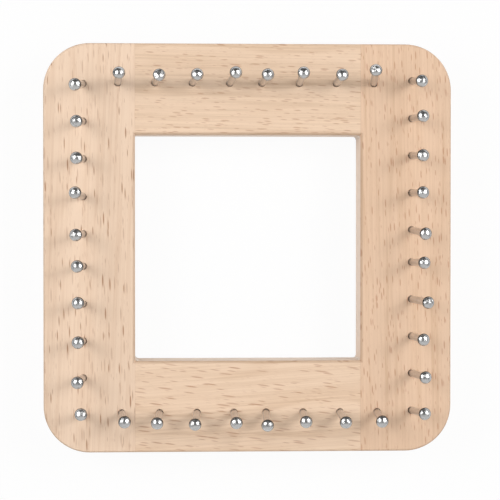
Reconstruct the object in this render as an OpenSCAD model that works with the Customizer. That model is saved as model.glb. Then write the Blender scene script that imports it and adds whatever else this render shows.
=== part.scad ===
// Square peg knitting board.
// Four beech bars are butted together on hidden dowels around a square window.
// Round-headed steel nails stand as pegs in blind holes along the bars, slanted away from the window.
// The origin is at the middle of the underside: X runs right, Y up the board, Z towards the pegs.

/* [Board] */
// Outside length of each side of the square board
board_side = 150; // [120:1:240]
// Thickness of the bars
board_t = 18; // [15:0.5:30]
// Width of each bar, from the outer edge to the window
bar_w = 33.5; // [28:0.5:42]
// Radius of the rounded outer corners
corner_r = 17; // [6:0.5:24]
// Radius of the eased outer edges
ease_r = 0.8; // [0.3:0.1:2]
// Radius of the rounder edges along the window
window_ease_r = 1.5; // [0.5:0.1:3]

/* [Dowels] */
// Diameter of the hidden dowels in the butt joints
dowel_d = 5; // [3:0.5:6]
// Length of a dowel, half of it in each bar
dowel_l = 22; // [14:0.5:28]
// Distance between the two dowels of a joint
dowel_spacing = 16; // [14:0.5:18]
// Bevel at each end of a dowel
dowel_bevel = 0.6; // [0.3:0.1:1]
// Radial room for glue around a dowel
dowel_fit = 0.05; // [0.02:0.01:0.2]
// Room for glue past each end of a dowel
dowel_end_gap = 0.5; // [0.2:0.1:1]

/* [Pegs] */
// Pegs along each side with the corner pegs counted, in two equal groups
pegs_per_side = 10; // [6:2:14]
// Distance from the outer edge to the line where the pegs enter the board
peg_inset = 14.3; // [11:0.1:18]
// Distance between the two groups of pegs, at the middle of each side
middle_gap = 11.8; // [8:0.1:18]
// How far each line of pegs is set off along its side, counterclockwise round the board
line_shift = 0.7; // [0:0.1:1.5]
// Outward slant of every peg, in degrees
peg_slant = 8; // [0:0.5:12]
// Diameter of a peg's shaft
peg_d = 2.6; // [2:0.1:3.4]
// Diameter of a peg's head, a slightly flattened ball
head_d = 4.5; // [3.8:0.1:6]
// Height of the head's crown above its widest ring
head_crown = 1.6; // [1.3:0.1:1.8]
// Radius of the head's rounded rim
head_round = 0.95; // [0.5:0.05:0.95]
// Length from the board's face to the widest ring of the head
peg_reach = 14.5; // [8:0.5:22]
// Length of a peg in the wood
peg_depth = 12; // [8:0.5:13]
// Bevel at the buried end of a peg
peg_bevel = 0.5; // [0.2:0.1:0.8]
// Radial clearance of a peg in its drilled hole
peg_fit = 0.02; // [0.01:0.01:0.1]
// Room below the buried end of a peg
peg_end_gap = 0.5; // [0.2:0.1:1]
// Width of the worn gap at the mouth of a peg hole, on the side away from the peg's lean
mouth_w = 0.35; // [0.2:0.05:0.6]
// Depth of that gap
mouth_depth = 0.5; // [0.3:0.1:1.5]

/* [Hidden] */
$fn = 64;
half_side = board_side / 2;
half_window = half_side - bar_w;
// Distance from the board's middle to the line where the pegs enter the face
peg_line = half_side - peg_inset;
peg_pitch = (2 * peg_line - middle_gap) / (pegs_per_side - 2);
// The dowels of a joint lie on both sides of the pegs, which cross between them
dowel_mid = peg_line - peg_depth / 2 * tan(peg_slant);
// Distance from a peg's axis to the middle of its head's rounded rim
rim_mid = head_d / 2 - head_round;
// How far the middle of the crown's curve lies below the head's widest ring
crown_drop = (pow(rim_mid, 2) - pow(head_crown - head_round, 2)) / (2 * (head_crown - head_round));
// How far a cutting tool passes beyond the face that it enters
overcut = 1;

SIDES = ["left", "right", "top", "bottom"];
// Lean of each hand-driven peg beyond the common slant, in degrees to the right and up the board.
// Columns are numbered downwards and rows rightwards. The lists repeat where there are more pegs.
LEFT_LEAN = [[-1, -4], [1, -2], [1, 0], [-1, 5], [0, -1], [2, 1], [3, 3], [3, 1], [2, -2], [7, 7]];
RIGHT_LEAN = [[-2, -3], [0, 1], [0, -1], [0, 0], [4, -5], [2, 0], [8, -3], [1, -2], [4, -2], [3, 0]];
TOP_LEAN = [[2, 2], [5, -1], [5, 0], [6, 3], [5, 0], [2, 3], [3, 0], [-3, 7]];
BOTTOM_LEAN = [[4, 1], [-4, -1], [-4, -3], [1, -1], [-1, -5], [0, 0], [3, -1], [1, 0]];

// The corner pegs belong to the two columns, so a row has two pegs fewer
function is_column(side) = side == "left" || side == "right";
function peg_count(side) = is_column(side) ? pegs_per_side : pegs_per_side - 2;
PEGS = [for (side = SIDES) for (number = [1 : peg_count(side)]) [side, number]];

function two_digits(number) = str(number < 10 ? "0" : "", number);
function peg_name(peg) = str("peg_", peg[0], "_", two_digits(peg[1]));

// Distance along a side from its middle to place 0, 1, 2 and so on, counted from one corner
function place_along(i) =
    i < pegs_per_side / 2
        ? -middle_gap / 2 - (pegs_per_side / 2 - 1 - i) * peg_pitch
        : middle_gap / 2 + (i - pegs_per_side / 2) * peg_pitch;

// Where a peg's axis enters the board's face
function peg_spot(peg) =
    peg[0] == "left" ? [-peg_line, -place_along(peg[1] - 1) - line_shift]
    : peg[0] == "right" ? [peg_line, -place_along(peg[1] - 1) + line_shift]
    : peg[0] == "top" ? [place_along(peg[1]) - line_shift, peg_line]
    : [place_along(peg[1]) + line_shift, -peg_line];

function outward(side) =
    side == "left" ? [-1, 0]
    : side == "right" ? [1, 0]
    : side == "top" ? [0, 1]
    : [0, -1];

function lean_list(side) =
    side == "left" ? LEFT_LEAN
    : side == "right" ? RIGHT_LEAN
    : side == "top" ? TOP_LEAN
    : BOTTOM_LEAN;

// A peg's whole tilt, in degrees to the right and up the board
function peg_tilt(peg) =
    let (leans = lean_list(peg[0]))
    outward(peg[0]) * peg_slant + leans[(peg[1] - 1) % len(leans)];

// The two dowels of each joint: [name, side of the board in X, side of the board in Y, place in the pair]
DOWELS = [
    for (y = [["top", 1], ["bottom", -1]])
        for (x = [["left", -1], ["right", 1]])
            for (place = [["outer", 1], ["inner", -1]])
                [str("dowel_", y[0], "_", x[0], "_", place[0]), x[1], y[1], place[1]]
];

BARS = ["left_stile", "right_stile", "top_rail", "bottom_rail"];

// Cross-section of a bar, from its window side at zero to its eased outer edge at w
module bar_section(w, window_eased = false) {
    window_r = window_eased ? window_ease_r : 0;
    translate([window_r, 0])
        square([w - ease_r - window_r, board_t]);
    translate([w / 2, ease_r])
        square([w / 2, board_t - 2 * ease_r]);
    for (z = [ease_r, board_t - ease_r])
        translate([w - ease_r, z])
            circle(r = ease_r);
    if (window_eased) {
        translate([0, window_r])
            square([w / 2, board_t - 2 * window_r]);
        for (z = [window_r, board_t - window_r])
            translate([window_r, z])
                circle(r = window_r);
    }
}

// Cross-section of the window's space between two eased bar edges, open above and below the board
module window_section() {
    difference() {
        translate([-half_window - window_ease_r, -overcut])
            square([2 * (half_window + window_ease_r), board_t + 2 * overcut]);
        for (side = [-1, 1]) {
            for (z = [window_ease_r, board_t - window_ease_r])
                translate([side * (half_window + window_ease_r), z])
                    circle(r = window_ease_r);
            translate([side * (half_window + window_ease_r), board_t / 2])
                square([2 * window_ease_r, board_t - 2 * window_ease_r], center = true);
        }
    }
}

// The window's whole space: its eased edges meet in a mitre at each corner
module window_space() {
    run = 2 * (half_window + 2 * window_ease_r);
    intersection() {
        rotate([90, 0, 0])
            linear_extrude(run, center = true)
                window_section();
        rotate([90, 0, 90])
            linear_extrude(run, center = true)
                window_section();
    }
}

// Stile on the right, without its holes: a straight run, and at each end a rounded corner and a short run
module stile_blank() {
    straight = half_side - corner_r;
    difference() {
        union() {
            translate([half_window, straight, 0])
                rotate([90, 0, 0])
                    linear_extrude(2 * straight)
                        bar_section(bar_w);
            for (end = [0, 1])
                mirror([0, end, 0]) {
                    translate([straight, straight, 0])
                        rotate_extrude(angle = 90)
                            bar_section(corner_r);
                    translate([half_window, straight, 0])
                        rotate([90, 0, 90])
                            linear_extrude(bar_w - corner_r)
                                bar_section(corner_r);
                }
        }
        window_space();
    }
}

// Rail at the top, without its holes
module rail_blank() {
    translate([-half_window, half_window, 0])
        rotate([90, 0, 90])
            linear_extrude(2 * half_window)
                bar_section(bar_w, window_eased = true);
}

// Puts its children in a peg's own frame: zero on the board's face, Z along the peg towards its head
module at_peg(peg) {
    spot = peg_spot(peg);
    tilt = peg_tilt(peg);
    translate([spot.x, spot.y, board_t])
        rotate([-tilt.y, tilt.x, 0])
            children();
}

// Blind hole for one peg, drilled at its slant and worn wider at the mouth, away from the lean
module peg_hole(peg) {
    hole_r = peg_d / 2 + peg_fit;
    depth = peg_depth + peg_end_gap;
    spot = peg_spot(peg);
    tilt = peg_tilt(peg);
    worn = norm(tilt) > 0 ? spot - tilt / norm(tilt) * mouth_w : spot;
    at_peg(peg)
        translate([0, 0, -depth])
            cylinder(r = hole_r, h = depth + overcut);
    translate([worn.x, worn.y, board_t - mouth_depth])
        cylinder(r = hole_r, h = mouth_depth + overcut);
}

// Puts its children in a dowel's own frame: zero on the seam, Z along the dowel into the stile
module at_dowel(dowel) {
    translate([dowel[1] * half_window, dowel[2] * (dowel_mid + dowel[3] * dowel_spacing / 2), board_t / 2])
        rotate([0, dowel[1] * 90, 0])
            children();
}

// Hole for one dowel, in both bars of its joint
module dowel_hole(dowel) {
    at_dowel(dowel)
        cylinder(d = dowel_d + 2 * dowel_fit, h = dowel_l + 2 * dowel_end_gap, center = true);
}

// The holes of one stile (side is -1 or 1): its column of pegs, the ends of both rows and its dowels
module stile_holes(side) {
    for (peg = PEGS)
        if (side * peg_spot(peg).x > half_window - peg_depth)
            peg_hole(peg);
    for (dowel = DOWELS)
        if (dowel[1] == side)
            dowel_hole(dowel);
}

// The holes of one rail (side is -1 or 1): the pegs of its row and its dowels
module rail_holes(side) {
    for (peg = PEGS)
        if (side * peg_spot(peg).y > half_window && abs(peg_spot(peg).x) < half_window + peg_depth)
            peg_hole(peg);
    for (dowel = DOWELS)
        if (dowel[2] == side)
            dowel_hole(dowel);
}

module left_stile() {
    color("#ecd0b5")
        difference() {
            mirror([1, 0, 0])
                stile_blank();
            stile_holes(-1);
        }
}

module right_stile() {
    color("#e3c3a6")
        difference() {
            stile_blank();
            stile_holes(1);
        }
}

module top_rail() {
    color("#ebcfb2")
        difference() {
            rail_blank();
            rail_holes(1);
        }
}

module bottom_rail() {
    color("#e8ccaf")
        difference() {
            mirror([0, 1, 0])
                rail_blank();
            rail_holes(-1);
        }
}

// Turned dowel with a bevel at each end
module dowel_pin(dowel) {
    r = dowel_d / 2;
    end = dowel_l / 2;
    color("#dfc39c")
        at_dowel(dowel)
            rotate_extrude()
                polygon([
                    [0, -end],
                    [r - dowel_bevel, -end],
                    [r, -end + dowel_bevel],
                    [r, end - dowel_bevel],
                    [r - dowel_bevel, end],
                    [0, end]
                ]);
}

// Half outline of a peg's head, with zero at its widest ring: a rounded rim and a flatter crown that meet smoothly
module head_outline() {
    translate([0, -head_round])
        square([rim_mid, head_round]);
    translate([rim_mid, 0])
        circle(r = head_round);
    intersection() {
        translate([0, -crown_drop])
            circle(r = head_crown + crown_drop);
        polygon([[0, -crown_drop], [2 * rim_mid, crown_drop], [2 * rim_mid, head_d], [0, head_d]]);
    }
}

// Plated steel nail, formed in one piece: bevelled end, round shaft and head
module peg_nail(peg) {
    r = peg_d / 2;
    color("#c9c9c6")
        at_peg(peg)
            rotate_extrude() {
                polygon([
                    [0, -peg_depth],
                    [r - peg_bevel, -peg_depth],
                    [r, -peg_depth + peg_bevel],
                    [r, peg_reach],
                    [0, peg_reach]
                ]);
                translate([0, peg_reach])
                    head_outline();
            }
}

left_stile();
right_stile();
top_rail();
bottom_rail();
for (dowel = DOWELS)
    dowel_pin(dowel);
for (peg = PEGS)
    peg_nail(peg);
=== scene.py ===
import math

import bmesh
import bpy
from mathutils import Matrix, Vector


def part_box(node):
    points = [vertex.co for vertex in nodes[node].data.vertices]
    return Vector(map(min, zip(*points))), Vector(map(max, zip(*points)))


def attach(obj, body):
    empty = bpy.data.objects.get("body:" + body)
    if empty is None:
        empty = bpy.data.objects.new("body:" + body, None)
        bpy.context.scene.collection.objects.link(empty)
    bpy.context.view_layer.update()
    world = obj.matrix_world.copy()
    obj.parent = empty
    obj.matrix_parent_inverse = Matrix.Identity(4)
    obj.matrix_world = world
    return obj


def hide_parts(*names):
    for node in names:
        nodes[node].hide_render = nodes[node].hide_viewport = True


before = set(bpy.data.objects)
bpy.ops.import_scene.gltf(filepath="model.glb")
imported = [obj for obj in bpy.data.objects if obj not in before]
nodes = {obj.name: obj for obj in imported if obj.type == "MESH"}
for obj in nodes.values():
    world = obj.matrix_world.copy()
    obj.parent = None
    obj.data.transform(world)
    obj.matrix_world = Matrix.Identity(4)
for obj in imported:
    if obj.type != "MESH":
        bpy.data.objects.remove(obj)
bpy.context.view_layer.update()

# The board: two upright stiles and two level rails of steamed beech, planed flush, glued at
# four butt seams and rubbed with a thin clear oil. Every bar is cut from another plank, so
# each has its own tone, its own figure and its own run of dark ray flecks.
stile_low, stile_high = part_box("right_stile")
half_window = stile_low.x
board_top = stile_high.z


def feed(tree, socket, item):
    if isinstance(item, (int, float, tuple)):
        socket.default_value = item
    elif item is not None:
        tree.links.new(item, socket)


def calc(tree, operation, *items):
    node = tree.nodes.new("ShaderNodeMath")
    node.operation = operation
    for socket, item in zip(node.inputs, items):
        feed(tree, socket, item)
    return node.outputs[0]


def fade(tree, value, start, end, low=0.0, high=1.0):
    node = tree.nodes.new("ShaderNodeMapRange")
    node.interpolation_type = "SMOOTHSTEP"
    feed(tree, node.inputs["Value"], value)
    feed(tree, node.inputs["From Min"], start)
    feed(tree, node.inputs["From Max"], end)
    feed(tree, node.inputs["To Min"], low)
    feed(tree, node.inputs["To Max"], high)
    return node.outputs[0]


def blend(tree, share, first, second, mode="MIX"):
    node = tree.nodes.new("ShaderNodeMix")
    node.data_type = "RGBA"
    node.blend_type = mode
    feed(tree, node.inputs[0], share)
    feed(tree, node.inputs[6], first)
    feed(tree, node.inputs[7], second)
    return node.outputs[2]


def axes(tree, vector):
    node = tree.nodes.new("ShaderNodeSeparateXYZ")
    feed(tree, node.inputs[0], vector)
    return node.outputs


def stretched(tree, place, ripples):
    node = tree.nodes.new("ShaderNodeVectorMath")
    node.operation = "MULTIPLY"
    feed(tree, node.inputs[0], place)
    node.inputs[1].default_value = ripples
    return node.outputs[0]


def noise(tree, place, ripples, detail=2.0, rough=0.5):
    node = tree.nodes.new("ShaderNodeTexNoise")
    node.inputs["Scale"].default_value = 1.0
    node.inputs["Detail"].default_value = detail
    node.inputs["Roughness"].default_value = rough
    feed(tree, node.inputs["Vector"], stretched(tree, place, ripples))
    return node.outputs["Fac"]


def bumped(tree, height, strength, depth):
    node = tree.nodes.new("ShaderNodeBump")
    node.inputs["Strength"].default_value = strength
    node.inputs["Distance"].default_value = depth
    feed(tree, node.inputs["Height"], height)
    return node.outputs[0]


# One spindle in each cell: its size, whether it is there, and how dark it is are drawn by lot
FAINTEST_FLECK = 0.35
SPINDLE_CORE = 0.5


def ray_flecks(tree, place, cell, smallest, largest, kept):
    cells = tree.nodes.new("ShaderNodeTexVoronoi")
    cells.inputs["Scale"].default_value = 1.0
    feed(tree, cells.inputs["Vector"], stretched(tree, place, tuple(1 / length for length in cell)))
    lots = tree.nodes.new("ShaderNodeSeparateColor")
    feed(tree, lots.inputs[0], cells.outputs["Color"])
    size = fade(tree, lots.outputs[0], 0.0, 1.0, smallest, largest)
    core = calc(tree, "MULTIPLY", size, SPINDLE_CORE)
    spindle = fade(tree, cells.outputs["Distance"], core, size, 1.0, 0.0)
    present = calc(tree, "LESS_THAN", lots.outputs[1], kept)
    dark = fade(tree, lots.outputs[2], 0.0, 1.0, FAINTEST_FLECK, 1.0)
    return calc(tree, "MULTIPLY", calc(tree, "MULTIPLY", spindle, present), dark)


def new_group(name, inputs, outputs):
    tree = bpy.data.node_groups.new(name, "ShaderNodeTree")
    kinds = {"vector": "NodeSocketVector", "colour": "NodeSocketColor", "value": "NodeSocketFloat"}
    for label, kind in inputs.items():
        tree.interface.new_socket(label, in_out="INPUT", socket_type=kinds[kind])
    for label, kind in outputs.items():
        tree.interface.new_socket(label, in_out="OUTPUT", socket_type=kinds[kind])
    return tree, tree.nodes.new("NodeGroupInput").outputs, tree.nodes.new("NodeGroupOutput").inputs


# Beech in the round: Place runs across the grain, along it, and out from the tree's heart.
# Ripples are counted per metre, and ray cells are measured in metres, in the same three ways.
RING_WANDER = (24, 8, 24)
RING_WANDER_DEPTH = 0.012
RING_SHARPNESS = 4.0
RING_END = 0.92
BANDS = (150, 4, 150)
STREAKS = (1100, 15, 1100)
THREADS = (5200, 90, 5200)
RAY_LEAN = 0.55
LARGE_RAY = (0.0009, 0.0090, 0.012)
SMALL_RAY = (0.0005, 0.0045, 0.008)
SMALL_RAY_SHARE = 0.45
TONE_MIDDLE = -1.4
TONE_BANDS = 0.5
TONE_STREAKS = 1.7
TONE_THREADS = 0.6
PALE_END = -0.35
LATE_END = 0.85
OILED_ROUGHNESS = 0.45
THREAD_ROUGHNESS = 0.2
FLECK_ROUGHNESS = -0.08
STREAK_RELIEF = 0.5
THREAD_RELIEF = 0.6
FLECK_RELIEF = -0.7
beech_grain, given, made = new_group(
    "beech_grain",
    {"Place": "vector", "Pale wood": "colour", "Late wood": "colour", "Ray fleck": "colour",
     "Ring width": "value", "Ring share": "value", "Fleck share": "value", "Fleck size": "vector",
     "Fleck slope": "value"},
    {"Color": "colour", "Roughness": "value", "Height": "value"},
)
across, along, outward = axes(beech_grain, given["Place"])
wander = noise(beech_grain, given["Place"], RING_WANDER)
square_across = calc(beech_grain, "MULTIPLY", across, across)
square_outward = calc(beech_grain, "MULTIPLY", outward, outward)
from_heart = calc(beech_grain, "SQRT", calc(beech_grain, "ADD", square_across, square_outward))
from_heart = calc(beech_grain, "MULTIPLY_ADD", wander, RING_WANDER_DEPTH, from_heart)
year = calc(beech_grain, "FRACT", calc(beech_grain, "DIVIDE", from_heart, given["Ring width"]))
late_in_year = calc(beech_grain, "POWER", year, RING_SHARPNESS)
ring = calc(beech_grain, "MULTIPLY", late_in_year, fade(beech_grain, year, 1.0, RING_END))
# Fibres: broad soft bands, finer streaks, and threads too thin to count
bands = noise(beech_grain, given["Place"], BANDS)
streaks = noise(beech_grain, given["Place"], STREAKS, detail=3.0, rough=0.6)
threads = noise(beech_grain, given["Place"], THREADS, rough=0.6)
# Broad rays run out from the heart at a lean: dark spindles on the face, short flakes on the
# sides and fine lines on the ends
leaning = beech_grain.nodes.new("ShaderNodeCombineXYZ")
sloped = calc(beech_grain, "MULTIPLY_ADD", along, given["Fleck slope"], across)
feed(beech_grain, leaning.inputs[0], calc(beech_grain, "MULTIPLY_ADD", outward, -RAY_LEAN, sloped))
feed(beech_grain, leaning.inputs[1], along)
feed(beech_grain, leaning.inputs[2], outward)
ray_place = beech_grain.nodes.new("ShaderNodeVectorMath")
ray_place.operation = "DIVIDE"
feed(beech_grain, ray_place.inputs[0], leaning.outputs[0])
feed(beech_grain, ray_place.inputs[1], given["Fleck size"])
large = ray_flecks(beech_grain, ray_place.outputs[0], LARGE_RAY, smallest=0.20, largest=0.42, kept=0.85)
small = ray_flecks(beech_grain, ray_place.outputs[0], SMALL_RAY, smallest=0.15, largest=0.36, kept=0.8)
flecks = calc(beech_grain, "MAXIMUM", large, calc(beech_grain, "MULTIPLY", small, SMALL_RAY_SHARE))
flecks = calc(beech_grain, "MULTIPLY", flecks, given["Fleck share"])
tone = calc(beech_grain, "MULTIPLY_ADD", ring, given["Ring share"], TONE_MIDDLE)
tone = calc(beech_grain, "MULTIPLY_ADD", bands, TONE_BANDS, tone)
tone = calc(beech_grain, "MULTIPLY_ADD", streaks, TONE_STREAKS, tone)
tone = calc(beech_grain, "MULTIPLY_ADD", threads, TONE_THREADS, tone)
tone = fade(beech_grain, tone, PALE_END, LATE_END)
plain_wood = blend(beech_grain, tone, given["Pale wood"], given["Late wood"])
feed(beech_grain, made["Color"], blend(beech_grain, flecks, plain_wood, given["Ray fleck"]))
dullness = calc(beech_grain, "MULTIPLY_ADD", threads, THREAD_ROUGHNESS, OILED_ROUGHNESS)
dullness = calc(beech_grain, "MULTIPLY_ADD", flecks, FLECK_ROUGHNESS, dullness)
feed(beech_grain, made["Roughness"], dullness)
relief = calc(beech_grain, "MULTIPLY", threads, THREAD_RELIEF)
relief = calc(beech_grain, "MULTIPLY_ADD", streaks, STREAK_RELIEF, relief)
feed(beech_grain, made["Height"], calc(beech_grain, "MULTIPLY_ADD", flecks, FLECK_RELIEF, relief))

# Making, handling and painted light: end grain drinks more oil and darkens. The eased edges are
# darkened by oil and by painted shade, except the top outer edge, which is left lighter as if lit
# from up the board. The walls of the window are painted pale as if lit by the white floor, the
# mouths of the holes are painted dark with shade, and glue leaves a fine line at each butt seam.
HOLE_BAND_NEAR = 0.056
HOLE_BAND_FAR = 0.066
WALL_MARGIN = 0.0005
OUTER_MARGIN = 0.015
SEAM_CORE = 0.00004
SEAM_EDGE = 0.0002
# How level a surface is, from 0 on an upright wall to 1 on the face, where each effect comes and goes
EASED_FROM_WALL = (0.06, 0.35)
EASED_TO_FACE = (0.999, 0.82)
UPRIGHT_WALL = (0.30, 0.05)
HOLE_WALL = (0.97, 0.80)
# How far it faces up or down the board, in the same way
END_GRAIN_FACING = (0.45, 0.95)
LIT_TOP_EDGE_FACING = (0.1, 0.4)
# Painted light: the window walls are lifted towards a pale grey, as if lit by the white floor below
WALL_BOUNCE_TONE = (0.84, 0.765, 0.69, 1.0)
WALL_BOUNCE_SHARE = 0.55
SOAKED_TONE = (0.86, 0.79, 0.72, 1.0)
# Painted shade: the mouths of the holes darken, as shade in the gap round each peg
HOLE_SHADE_TONE = (0.19, 0.135, 0.10, 1.0)
# Oil and painted shade on the eased edges
EDGE_OIL_AND_SHADE_TONE = (0.74, 0.71, 0.68, 1.0)
EDGE_OIL_AND_SHADE_SHARE = 0.62
SEAM_TONE = (0.60, 0.46, 0.36, 1.0)
SEAM_SHARE = 0.15
bar_finish_and_shade, given, made = new_group(
    "bar_finish_and_shade",
    {"Color": "colour", "Place": "vector", "Normal": "vector"},
    {"Color": "colour"},
)
_, facing_up_board, facing_pegs = axes(bar_finish_and_shade, given["Normal"])
level = calc(bar_finish_and_shade, "ABSOLUTE", facing_pegs)
past_wall = fade(bar_finish_and_shade, level, *EASED_FROM_WALL)
short_of_face = fade(bar_finish_and_shade, level, *EASED_TO_FACE)
eased = calc(bar_finish_and_shade, "MULTIPLY", past_wall, short_of_face)
upright = fade(bar_finish_and_shade, level, *UPRIGHT_WALL)
across_board, up_board, _ = axes(bar_finish_and_shade, given["Place"])
from_middle_x = calc(bar_finish_and_shade, "ABSOLUTE", across_board)
from_middle_y = calc(bar_finish_and_shade, "ABSOLUTE", up_board)
from_middle = calc(bar_finish_and_shade, "MAXIMUM", from_middle_x, from_middle_y)
from_seam = calc(bar_finish_and_shade, "ABSOLUTE", calc(bar_finish_and_shade, "SUBTRACT", from_middle_x, half_window))
seam_line = fade(bar_finish_and_shade, from_seam, SEAM_CORE, SEAM_EDGE, 1.0, 0.0)
past_window = calc(bar_finish_and_shade, "GREATER_THAN", from_middle_y, half_window)
on_seam = calc(bar_finish_and_shade, "MULTIPLY", seam_line, past_window)
inside = calc(bar_finish_and_shade, "LESS_THAN", from_middle, half_window + WALL_MARGIN)
window_wall = calc(bar_finish_and_shade, "MULTIPLY", upright, inside)
on_stile = calc(bar_finish_and_shade, "GREATER_THAN", from_middle_x, half_window + WALL_MARGIN)
facing_end = calc(bar_finish_and_shade, "ABSOLUTE", facing_up_board)
facing_end = fade(bar_finish_and_shade, facing_end, *END_GRAIN_FACING)
end_grain = calc(bar_finish_and_shade, "MULTIPLY", facing_end, on_stile)
past_near_side = calc(bar_finish_and_shade, "GREATER_THAN", from_middle, HOLE_BAND_NEAR)
short_of_far_side = calc(bar_finish_and_shade, "LESS_THAN", from_middle, HOLE_BAND_FAR)
hole_band = calc(bar_finish_and_shade, "MULTIPLY", past_near_side, short_of_far_side)
hole_shade_mask = calc(bar_finish_and_shade, "MULTIPLY", hole_band, fade(bar_finish_and_shade, level, *HOLE_WALL))
outer = calc(bar_finish_and_shade, "GREATER_THAN", from_middle, half_window + OUTER_MARGIN)
# The top outer edge keeps its colour, painted as lit from up the board
facing_lit_top = fade(bar_finish_and_shade, facing_up_board, *LIT_TOP_EDGE_FACING)
lit_top_edge = calc(bar_finish_and_shade, "MULTIPLY", facing_lit_top, outer)
edge_oil_and_shade_mask = calc(bar_finish_and_shade, "MULTIPLY", eased, calc(bar_finish_and_shade, "SUBTRACT", 1.0, lit_top_edge))
wall_bounce_mix = calc(bar_finish_and_shade, "MULTIPLY", window_wall, WALL_BOUNCE_SHARE)
edge_oil_and_shade_mix = calc(bar_finish_and_shade, "MULTIPLY", edge_oil_and_shade_mask, EDGE_OIL_AND_SHADE_SHARE)
seam_share = calc(bar_finish_and_shade, "MULTIPLY", on_seam, SEAM_SHARE)
# The pale walls, dark hole mouths and darker edges below are partly painted light and shade
finish = blend(bar_finish_and_shade, wall_bounce_mix, given["Color"], WALL_BOUNCE_TONE)
finish = blend(bar_finish_and_shade, end_grain, finish, SOAKED_TONE, "MULTIPLY")
finish = blend(bar_finish_and_shade, hole_shade_mask, finish, HOLE_SHADE_TONE, "MULTIPLY")
finish = blend(bar_finish_and_shade, edge_oil_and_shade_mix, finish, EDGE_OIL_AND_SHADE_TONE, "MULTIPLY")
finish = blend(bar_finish_and_shade, seam_share, finish, SEAM_TONE, "MULTIPLY")
feed(bar_finish_and_shade, made["Color"], finish)

WOOD_GLOSS = 0.3
GRAIN_STRENGTH = 0.35
GRAIN_DEPTH = 0.00006


def beech(name, turn, heart_place, pale, late, fleck, rings, flecks, finished_and_shaded=True):
    material = bpy.data.materials.new(name)
    material.use_nodes = True
    tree = material.node_tree
    shader = tree.nodes["Principled BSDF"]
    shader.inputs["Specular IOR Level"].default_value = WOOD_GLOSS
    spot = tree.nodes.new("ShaderNodeTexCoord")
    mapping = tree.nodes.new("ShaderNodeMapping")
    mapping.inputs["Location"].default_value = heart_place
    mapping.inputs["Rotation"].default_value = (0.0, 0.0, math.radians(turn))
    feed(tree, mapping.inputs["Vector"], spot.outputs["Object"])
    grain = tree.nodes.new("ShaderNodeGroup")
    grain.node_tree = beech_grain
    feed(tree, grain.inputs["Place"], mapping.outputs[0])
    for label, colour in (("Pale wood", pale), ("Late wood", late), ("Ray fleck", fleck)):
        grain.inputs[label].default_value = (*colour, 1.0)
    for label, value in zip(("Ring width", "Ring share"), rings):
        grain.inputs[label].default_value = value
    for label, value in zip(("Fleck share", "Fleck size", "Fleck slope"), flecks):
        grain.inputs[label].default_value = value
    colour = grain.outputs["Color"]
    if finished_and_shaded:
        finish_and_shade = tree.nodes.new("ShaderNodeGroup")
        finish_and_shade.node_tree = bar_finish_and_shade
        feed(tree, finish_and_shade.inputs["Color"], colour)
        feed(tree, finish_and_shade.inputs["Place"], spot.outputs["Object"])
        feed(tree, finish_and_shade.inputs["Normal"], spot.outputs["Normal"])
        colour = finish_and_shade.outputs["Color"]
    feed(tree, shader.inputs["Base Color"], colour)
    feed(tree, shader.inputs["Roughness"], grain.outputs["Roughness"])
    grain_normal = bumped(tree, grain.outputs["Height"], GRAIN_STRENGTH, GRAIN_DEPTH)
    feed(tree, shader.inputs["Normal"], grain_normal)
    return material


# Rings are a width and a share. Flecks are a share, a size in three ways, and a slope to the edge.
bar_woods = {
    "left_stile": beech("pale_beech_upright", 2.0, (0.095, 0.31, 0.055),
                        (0.88, 0.67, 0.505), (0.75, 0.53, 0.375), (0.435, 0.227, 0.13),
                        rings=(0.0042, 0.30), flecks=(0.88, (1.0, 0.9, 1.0), 0.06)),
    "right_stile": beech("pink_beech_upright", -1.0, (-0.018, 1.07, 0.062),
                         (0.825, 0.585, 0.415), (0.68, 0.45, 0.29), (0.46, 0.18, 0.09),
                         rings=(0.0034, 0.25), flecks=(0.52, (0.80, 0.55, 0.75), 0.03)),
    "top_rail": beech("straw_beech_level", 91.0, (0.083, 0.52, 0.049),
                      (0.855, 0.64, 0.47), (0.66, 0.46, 0.308), (0.45, 0.215, 0.12),
                      rings=(0.0030, 0.35), flecks=(0.68, (0.85, 0.55, 0.75), -0.05)),
    "bottom_rail": beech("warm_beech_level", 86.0, (-0.041, 0.83, 0.071),
                         (0.89, 0.67, 0.495), (0.71, 0.495, 0.335), (0.44, 0.205, 0.115),
                         rings=(0.0030, 0.5), flecks=(0.85, (1.0, 0.9, 1.0), -0.2)),
}
for bar, wood in bar_woods.items():
    nodes[bar].data.materials.clear()
    nodes[bar].data.materials.append(wood)

# Hidden dowels: short turned beech pins with bevelled ends, two in each butt seam, glued
# half into a stile and half into a rail. Nothing of them shows once the board is closed.
dowel_wood = beech("dowel_beech", 90.0, (0.2, 0.4, 0.05),
                   (0.80, 0.60, 0.40), (0.64, 0.44, 0.27), (0.40, 0.22, 0.12),
                   rings=(0.002, 0.5), flecks=(0.5, (0.6, 0.6, 0.6), 0.0), finished_and_shaded=False)
for name, node in nodes.items():
    if name.startswith("dowel_"):
        node.data.materials.clear()
        node.data.materials.append(dowel_wood)

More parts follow.
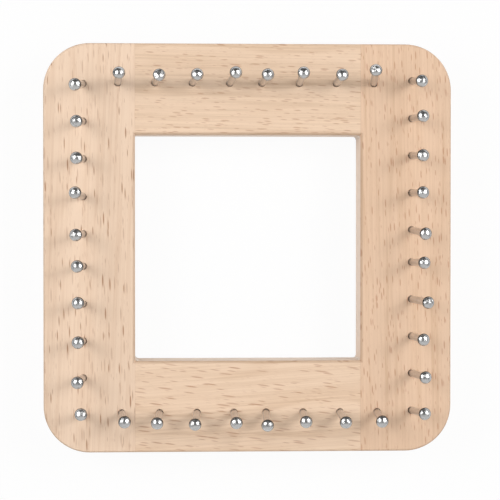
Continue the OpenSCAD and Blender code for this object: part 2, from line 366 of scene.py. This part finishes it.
# Glue: a bead squeezed out of three of the butt seams when the board was clamped, wiped with a
# finger into a hollow fillet up the corner of the window, and left to dry.
GLUE_CORNERS = {
    "glue_upper_right": (1, 1, 0.0011),
    "glue_lower_left": (-1, -1, 0.0012),
    "glue_lower_right": (1, -1, 0.0008),
}
GLUE_STEPS = 8
GLUE_FOOT = 0.0002
GLUE_BELOW_FACE = 0.0017
GLUE_HEIGHT = board_top - GLUE_BELOW_FACE
GLUE_BITE = 0.00004
GLUE_DRIPS = (900, 900, 200)
GLUE_THIN = (0.80, 0.68, 0.56, 1.0)
GLUE_THICK = (0.62, 0.48, 0.36, 1.0)
SHARP_ANGLE = math.radians(32)
dried_glue = bpy.data.materials.new("dried_glue")
dried_glue.use_nodes = True
glue_tree = dried_glue.node_tree
glue_shader = glue_tree.nodes["Principled BSDF"]
glue_place = glue_tree.nodes.new("ShaderNodeTexCoord").outputs["Object"]
drips = noise(glue_tree, glue_place, GLUE_DRIPS, detail=3.0)
feed(glue_tree, glue_shader.inputs["Base Color"], blend(glue_tree, drips, GLUE_THIN, GLUE_THICK))
feed(glue_tree, glue_shader.inputs["Roughness"], fade(glue_tree, drips, 0.3, 0.7, low=0.30, high=0.55))
feed(glue_tree, glue_shader.inputs["Normal"], bumped(glue_tree, drips, strength=0.3, depth=0.0001))
for name, (side, end, size) in GLUE_CORNERS.items():
    bead = bmesh.new()
    buried = half_window + GLUE_BITE
    hollow = half_window - size
    section = [(buried, buried), (hollow, buried)]
    for step in range(GLUE_STEPS + 1):
        angle = math.pi / 2 * (1 - step / GLUE_STEPS)
        section.append((hollow + size * math.cos(angle), hollow + size * math.sin(angle)))
    section.append((buried, hollow))
    foot = bead.faces.new([bead.verts.new((side * x, end * y, GLUE_FOOT)) for x, y in section])
    grown = bmesh.ops.extrude_face_region(bead, geom=[foot])["geom"]
    risen = [item for item in grown if isinstance(item, bmesh.types.BMVert)]
    bmesh.ops.translate(bead, vec=(0, 0, GLUE_HEIGHT), verts=risen)
    bmesh.ops.recalc_face_normals(bead, faces=bead.faces)
    for edge in bead.edges:
        edge.smooth = edge.calc_face_angle(0.0) < SHARP_ANGLE
    for face in bead.faces:
        face.smooth = True
    bead_mesh = bpy.data.meshes.new(name)
    bead.to_mesh(bead_mesh)
    bead.free()
    bead_mesh.materials.append(dried_glue)
    fillet = bpy.data.objects.new(name, bead_mesh)
    bpy.context.scene.collection.objects.link(fillet)
    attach(fillet, "root")

# Pegs: plated steel nails, each formed in one piece with a slightly flattened ball for a head.
# They were driven by hand into drilled holes, so each leans its own way. The heads are polished,
# with hammer marks and a rim painted dark as a shaded reflection, and the shafts are duller.
SHAFT_RADIUS = 0.0013
HEAD_RADIUS = 0.00225
HEAD_CROWN = 0.0016
HEAD_ROUND = 0.00095
PEG_REACH = 0.0145
PEG_DEPTH = 0.012
TIP_BEVEL = 0.0005
TIP_FACING = -0.93
NECK_SLOPE = 0.0003
NECK_ANGLE = 0.35
RIM_STEPS = 12
CROWN_STEPS = 14
TURNS = 64
DENT_BEVEL = 0.00008
DENT_BEVEL_STEPS = 2
MERGE_WITHIN = 1e-7
# The lowest point of the head, where polish gives way to the duller shaft
HEAD_FOOT = PEG_REACH - HEAD_ROUND
# Painted shade in the reflection sits round the rim, from a little below its widest ring up to this
# share of its round
RIM_SHADE_TOP = 0.76
RIM_SHADE_FADE = 0.25
RIM_SHADE_UNDER = 0.3
RIM_SHADE_TONE = (0.20, 0.195, 0.19, 1.0)
# Most of it is left off the side towards the user, at the bottom of the board, where the rim is painted
# lighter as if reflecting the white table
USER_SIDE_UNSHADED_SHARE = 0.95
SMUDGES = (450, 450, 450)
HAMMER_MARKS = (1100, 900, 1000)
MARK_STRENGTH = 0.5
MARK_DEPTH = 0.0004
# The hammer slipped on three heads: the way each flat dent faces, and how deep it is
DENTS = {
    "peg_top_02": (((0.22, 0.36, 0.905), 0.0004), ((-0.45, -0.10, 0.88), 0.0002)),
    "peg_top_08": (((-0.30, 0.25, 0.92), 0.00018),),
    "peg_right_07": (((-0.35, 0.40, 0.85), 0.00018), ((0.45, 0.30, 0.84), 0.00016)),
}


def plating(name, clean, smudged, smooth, dulled, edge_tint):
    material = bpy.data.materials.new(name)
    material.use_nodes = True
    tree = material.node_tree
    shader = tree.nodes["Principled BSDF"]
    shader.inputs["Metallic"].default_value = 1.0
    shader.inputs["Specular Tint"].default_value = edge_tint
    spot = tree.nodes.new("ShaderNodeTexCoord").outputs["Object"]
    smudges = noise(tree, spot, SMUDGES, detail=3.0)
    painted_rim_shade = tree.nodes.new("ShaderNodeAttribute")
    painted_rim_shade.attribute_name = "painted_rim_shade"
    metal = blend(tree, smudges, clean, smudged)
    # Painted dark reflection round the rim of the head
    metal = blend(tree, painted_rim_shade.outputs["Fac"], metal, RIM_SHADE_TONE, "MULTIPLY")
    feed(tree, shader.inputs["Base Color"], metal)
    feed(tree, shader.inputs["Roughness"], fade(tree, smudges, 0.3, 0.75, smooth, dulled))
    marks = noise(tree, spot, HAMMER_MARKS, detail=1.0)
    feed(tree, shader.inputs["Normal"], bumped(tree, marks, MARK_STRENGTH, MARK_DEPTH))
    return material


# The head's dark tint at grazing angles paints the rim's reflection darker
head_plating = plating("plated_head", (0.76, 0.76, 0.755, 1.0), (0.65, 0.65, 0.645, 1.0),
                       smooth=0.22, dulled=0.32, edge_tint=(0.1, 0.1, 0.11, 1.0))
shaft_plating = plating("plated_shaft", (0.76, 0.73, 0.705, 1.0), (0.64, 0.61, 0.59, 1.0),
                        smooth=0.35, dulled=0.45, edge_tint=(1.0, 1.0, 1.0, 1.0))


def formed_nail():
    nail = bmesh.new()
    # The outline runs from the buried tip up the shaft to a short slope under the head, round
    # the rim, and over the flatter curve of the crown
    rim_middle = HEAD_RADIUS - HEAD_ROUND
    crown_rise = HEAD_CROWN - HEAD_ROUND
    crown_drop = (rim_middle ** 2 - crown_rise ** 2) / (2 * crown_rise)
    crown_radius = HEAD_CROWN + crown_drop
    meeting = math.atan2(crown_drop, rim_middle)
    outline = [
        (0, -PEG_DEPTH),
        (SHAFT_RADIUS - TIP_BEVEL, -PEG_DEPTH),
        (SHAFT_RADIUS, -PEG_DEPTH + TIP_BEVEL),
        (SHAFT_RADIUS, HEAD_FOOT - NECK_SLOPE),
    ]
    rim_start = -math.pi / 2 + NECK_ANGLE
    for step in range(RIM_STEPS + 1):
        angle = rim_start + (meeting - rim_start) * step / RIM_STEPS
        outline.append((
            rim_middle + HEAD_ROUND * math.cos(angle),
            PEG_REACH + HEAD_ROUND * math.sin(angle),
        ))
    for step in range(1, CROWN_STEPS + 1):
        angle = meeting + (math.pi / 2 - meeting) * step / CROWN_STEPS
        outline.append((
            crown_radius * math.cos(angle),
            PEG_REACH - crown_drop + crown_radius * math.sin(angle),
        ))
    points = [nail.verts.new((radius, 0, height)) for radius, height in outline]
    edges = [nail.edges.new(pair) for pair in zip(points, points[1:])]
    bmesh.ops.spin(nail, geom=points + edges, axis=(0, 0, 1), cent=(0, 0, 0), angle=math.tau,
                   steps=TURNS, use_merge=True)
    bmesh.ops.remove_doubles(nail, verts=nail.verts, dist=MERGE_WITHIN)
    bmesh.ops.recalc_face_normals(nail, faces=nail.faces)
    return nail


def hammer(nail, facing, depth):
    touch = max(vert.co.dot(facing) for vert in nail.verts)
    cut = bmesh.ops.bisect_plane(
        nail,
        geom=nail.verts[:] + nail.edges[:] + nail.faces[:],
        plane_co=facing * (touch - depth),
        plane_no=facing,
        clear_outer=True,
    )
    rim = [item for item in cut["geom_cut"] if isinstance(item, bmesh.types.BMEdge)]
    bmesh.ops.edgeloop_fill(nail, edges=rim)
    bmesh.ops.bevel(nail, geom=rim, offset=DENT_BEVEL, offset_type="OFFSET", segments=DENT_BEVEL_STEPS,
                    profile=0.5, affect="EDGES", material=-1)


def limited(share):
    return min(1.0, max(0.0, share))


def shade_the_rim(nail, turn):
    rim_shade_layer = nail.verts.layers.float.new("painted_rim_shade")
    for vert in nail.verts:
        on_head = vert.co.z > HEAD_FOOT
        up_the_rim = (vert.co.z - PEG_REACH) / HEAD_ROUND
        below_top = limited((RIM_SHADE_TOP - up_the_rim) / RIM_SHADE_FADE)
        above_underside = limited(1.0 + up_the_rim / RIM_SHADE_UNDER)
        sideways = turn @ Vector((vert.co.x, vert.co.y, 0.0))
        towards_user = max(0.0, -sideways.y / HEAD_RADIUS)
        # Painted rim shade, left lighter towards the user
        vert[rim_shade_layer] = on_head * min(below_top, above_underside) * (1.0 - USER_SIDE_UNSHADED_SHARE * towards_user)


# Where a peg's axis meets the face, and which way it leans, from the flat tip of its solid
def peg_lean(node):
    tip = [face for face in node.data.polygons
           if face.normal.z < TIP_FACING and face.center.z < board_top]
    corners = [node.data.vertices[index].co for face in tip for index in face.vertices]
    low = Vector(min(corner[axis] for corner in corners) for axis in range(3))
    high = Vector(max(corner[axis] for corner in corners) for axis in range(3))
    axis_up = -tip[0].normal
    turn = axis_up.to_track_quat("Z", "Y").to_matrix()
    return Matrix.Translation((low + high) / 2 + axis_up * PEG_DEPTH) @ turn.to_4x4()


for name, node in nodes.items():
    if not name.startswith("peg_"):
        continue
    lean = peg_lean(node)
    nail = formed_nail()
    for facing, depth in DENTS.get(name, ()):
        hammer(nail, (lean.to_3x3().inverted() @ Vector(facing)).normalized(), depth)
    for edge in nail.edges:
        edge.smooth = edge.calc_face_angle(0.0) < SHARP_ANGLE
    for face in nail.faces:
        face.smooth = True
        face.material_index = int(face.calc_center_median().z < HEAD_FOOT)
    shade_the_rim(nail, lean.to_3x3())
    nail.transform(lean)
    nail_mesh = bpy.data.meshes.new(name + "_nail")
    nail.to_mesh(nail_mesh)
    nail.free()
    nail_mesh.materials.append(head_plating)
    nail_mesh.materials.append(shaft_plating)
    peg = bpy.data.objects.new(name + "_nail", nail_mesh)
    bpy.context.scene.collection.objects.link(peg)
    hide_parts(name)
    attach(peg, "root")

# The studio: a white sheet that fades into a grey table painted darker as shade, a soft box with a
# brighter bulb on each side of the board and a little up it, and a dim room that is lighter near the
# user.
FLOOR_HALF = 4.0
FLOOR_BELOW = -0.0001
POOL_MIDDLE = 0.20
POOL_HALF_LENGTH = 0.25
POOL_WHITE = 0.10
POOL_END = 0.27
POOL_GLOW = 0.94
# Beyond the sheet the table is painted grey, as shade
TABLE_SHADE_TONE = (0.62, 0.62, 0.62, 1.0)
SHEET_TONE = (0.85, 0.85, 0.85, 1.0)
floor_mesh = bpy.data.meshes.new("floor")
floor_grid = bmesh.new()
bmesh.ops.create_grid(floor_grid, x_segments=1, y_segments=1, size=FLOOR_HALF)
floor_grid.to_mesh(floor_mesh)
floor_grid.free()
floor = bpy.data.objects.new("floor", floor_mesh)
floor.location.z = FLOOR_BELOW
bpy.context.scene.collection.objects.link(floor)
white_sheet_shaded_table = bpy.data.materials.new("white_sheet_shaded_table")
white_sheet_shaded_table.use_nodes = True
table_tree = white_sheet_shaded_table.node_tree
table_tree.nodes.clear()
table_place = table_tree.nodes.new("ShaderNodeTexCoord").outputs["Object"]
beside, up_table, _ = axes(table_tree, table_place)
from_pool_middle = calc(table_tree, "ABSOLUTE", calc(table_tree, "SUBTRACT", up_table, POOL_MIDDLE))
beyond = calc(table_tree, "SUBTRACT", from_pool_middle, POOL_HALF_LENGTH)
beyond = calc(table_tree, "MAXIMUM", beyond, 0.0)
square_beside = calc(table_tree, "MULTIPLY", beside, beside)
from_pool = calc(table_tree, "SQRT", calc(table_tree, "MULTIPLY_ADD", beyond, beyond, square_beside))
# The white sheet round the board, fading into the table's painted shade
lit_sheet_share = fade(table_tree, from_pool, POOL_WHITE, POOL_END, 1.0, 0.0)
matt = table_tree.nodes.new("ShaderNodeBsdfDiffuse")
feed(table_tree, matt.inputs["Color"], blend(table_tree, lit_sheet_share, TABLE_SHADE_TONE, SHEET_TONE))
glow = table_tree.nodes.new("ShaderNodeEmission")
glow.inputs["Strength"].default_value = 1.0
rays = table_tree.nodes.new("ShaderNodeLightPath").outputs
mirrored = calc(table_tree, "MAXIMUM", rays["Is Glossy Ray"], rays["Is Transmission Ray"])
seen = calc(table_tree, "MAXIMUM", rays["Is Camera Ray"], mirrored)
glow_share = calc(table_tree, "MULTIPLY", calc(table_tree, "MULTIPLY", seen, lit_sheet_share), POOL_GLOW)
lit = table_tree.nodes.new("ShaderNodeMixShader")
feed(table_tree, lit.inputs[0], glow_share)
feed(table_tree, lit.inputs[1], matt.outputs[0])
feed(table_tree, lit.inputs[2], glow.outputs[0])
feed(table_tree, table_tree.nodes.new("ShaderNodeOutputMaterial").inputs["Surface"], lit.outputs[0])
floor_mesh.materials.append(white_sheet_shaded_table)


def soft_light(name, spot, width, height, watts):
    lamp = bpy.data.lights.new(name, "AREA")
    lamp.shape = "RECTANGLE"
    lamp.size = width
    lamp.size_y = height
    lamp.energy = watts
    holder = bpy.data.objects.new(name, lamp)
    holder.location = spot
    holder.rotation_euler = (-Vector(spot)).to_track_quat("-Z", "Y").to_euler()
    bpy.context.scene.collection.objects.link(holder)


soft_light("left_soft_box", (-0.74, 0.22, 0.76), width=1.0, height=0.7, watts=5.3)
soft_light("left_bulb", (-0.71, 0.26, 0.75), width=0.36, height=0.36, watts=1.7)
soft_light("right_soft_box", (0.74, 0.22, 0.76), width=1.0, height=0.7, watts=4.9)
soft_light("right_bulb", (0.71, 0.26, 0.75), width=0.30, height=0.30, watts=2.3)

ROOM_DIM = 0.08
ROOM_NEAR = 0.60
ROOM_OVERHEAD = 0.06
NEAR_WAY = (-0.05, -0.75)
OVERHEAD_WAY = (0.60, 0.97)
room = bpy.data.worlds.new("studio")
room.use_nodes = True
room_tree = room.node_tree
walls = room_tree.nodes["Background"]
room_way = room_tree.nodes.new("ShaderNodeTexCoord").outputs["Generated"]
_, way_up_board, way_overhead = axes(room_tree, room_way)
near_user = fade(room_tree, way_up_board, *NEAR_WAY)
overhead = fade(room_tree, way_overhead, *OVERHEAD_WAY)
brightness = calc(room_tree, "MULTIPLY_ADD", near_user, ROOM_NEAR, ROOM_DIM)
brightness = calc(room_tree, "MULTIPLY_ADD", overhead, ROOM_OVERHEAD, brightness)
feed(room_tree, walls.inputs["Strength"], brightness)
walls.inputs["Color"].default_value = (1.0, 1.0, 1.0, 1.0)
bpy.context.scene.world = room

# The camera hangs over the board, a little to the left of its middle and up the board.
CAMERA_ABOVE_FACE = 0.765
CAMERA_PLACE = Vector((-0.0399, 0.0123, board_top + CAMERA_ABOVE_FACE))
CAMERA_AIM = Vector((0.0007, -0.00074, board_top))
CAMERA_LENS = 150.1
CAMERA_SENSOR = 36.0
camera_data = bpy.data.cameras.new("camera")
camera_data.lens = CAMERA_LENS
camera_data.sensor_width = CAMERA_SENSOR
camera = bpy.data.objects.new("camera", camera_data)
forward = (CAMERA_AIM - CAMERA_PLACE).normalized()
right = forward.cross(Vector((0, 1, 0))).normalized()
above = right.cross(forward)
camera_turn = Matrix((right, above, -forward)).transposed()
camera.matrix_world = Matrix.Translation(CAMERA_PLACE) @ camera_turn.to_4x4()
bpy.context.scene.collection.objects.link(camera)
bpy.context.scene.camera = camera
bpy.context.scene.view_settings.view_transform = "Standard"
